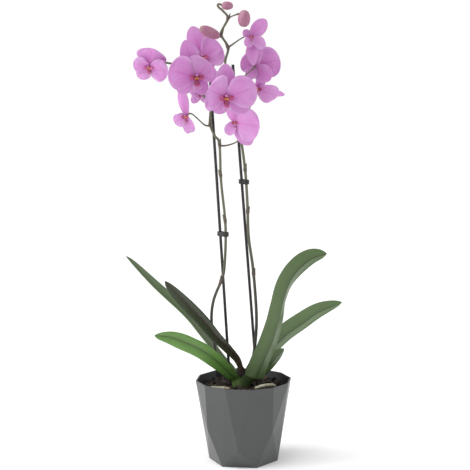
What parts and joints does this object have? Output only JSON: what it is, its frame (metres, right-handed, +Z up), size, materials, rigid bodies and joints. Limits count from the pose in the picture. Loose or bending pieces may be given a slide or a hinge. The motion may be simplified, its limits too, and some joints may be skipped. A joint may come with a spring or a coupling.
{
  "type": "potted orchid",
  "caption": "Moth orchid in a faceted cover pot: bark, a rosette of fleshy leaves and two staked flower spikes with open pink flowers and buds; a free-standing ornament",
  "frame": {"origin": "centre of the pot's flat underside", "axes": "+Z up along the plant; -Y is the front, which most of the flowers face; +X to the viewer's right"},
  "size_m": [0.3078, 0.1475, 0.6459],
  "materials": {
    "pot_grey": "satin moulded plastic, plain mid grey outside and darker inside",
    "bark_brown": "rough dark brown bark chips",
    "leaf_green": "fleshy green leaves with a soft sheen",
    "spike_olive": "olive-grey flower stem, reddish at its joints",
    "stake_dark": "dark brown-black stake, slightly rough",
    "clip_black": "small black plastic clip",
    "root_pale": "pale grey-tan aerial root",
    "sepal_pink": "thin lilac-pink sepal with fine veins",
    "petal_pink": "thin lilac-pink petal with fine veins and a paler edge",
    "lip_magenta": "magenta-red lip with an orange callus",
    "column_pink": "pale pink column",
    "bud_rose": "dusky rose flower bud"
  },
  "bodies": {
    "root": {"pot": "pot_grey", "bark_mix": "bark_brown", "plant_crown": "leaf_green", "flower_spike_left": "spike_olive", "flower_spike_right": "spike_olive", "stake_left": "stake_dark", "stake_right": "stake_dark", "clip_left": "clip_black", "clip_right": "clip_black", "aerial_root_left": "root_pale", "aerial_root_right": "root_pale", "leaf_upper_left": "leaf_green", "leaf_dark_left": "leaf_green", "leaf_lower_left": "leaf_green", "leaf_upright_right": "leaf_green", "leaf_lower_right": "leaf_green", "leaf_short_right": "leaf_green", "bud_tip": "bud_rose", "bud_right": "bud_rose", "bud_opening": "bud_rose", "flower_1_sepals": "sepal_pink", "flower_1_petals": "petal_pink", "flower_1_lip": "lip_magenta", "flower_1_column": "column_pink", "flower_2_sepals": "sepal_pink", "flower_2_petals": "petal_pink", "flower_2_lip": "lip_magenta", "flower_2_column": "column_pink", "flower_3_sepals": "sepal_pink", "flower_3_petals": "petal_pink", "flower_3_lip": "lip_magenta", "flower_3_column": "column_pink", "flower_4_sepals": "sepal_pink", "flower_4_petals": "petal_pink", "flower_4_lip": "lip_magenta", "flower_4_column": "column_pink", "flower_5_sepals": "sepal_pink", "flower_5_petals": "petal_pink", "flower_5_lip": "lip_magenta", "flower_5_column": "column_pink", "flower_6_sepals": "sepal_pink", "flower_6_petals": "petal_pink", "flower_6_lip": "lip_magenta", "flower_6_column": "column_pink", "flower_7_sepals": "sepal_pink", "flower_7_petals": "petal_pink", "flower_7_lip": "lip_magenta", "flower_7_column": "column_pink", "flower_8_sepals": "sepal_pink", "flower_8_petals": "petal_pink", "flower_8_lip": "lip_magenta", "flower_8_column": "column_pink", "flower_9_sepals": "sepal_pink", "flower_9_petals": "petal_pink", "flower_9_lip": "lip_magenta", "flower_9_column": "column_pink", "flower_10_sepals": "sepal_pink", "flower_10_petals": "petal_pink", "flower_10_lip": "lip_magenta", "flower_10_column": "column_pink"}
  },
  "joints": []
}
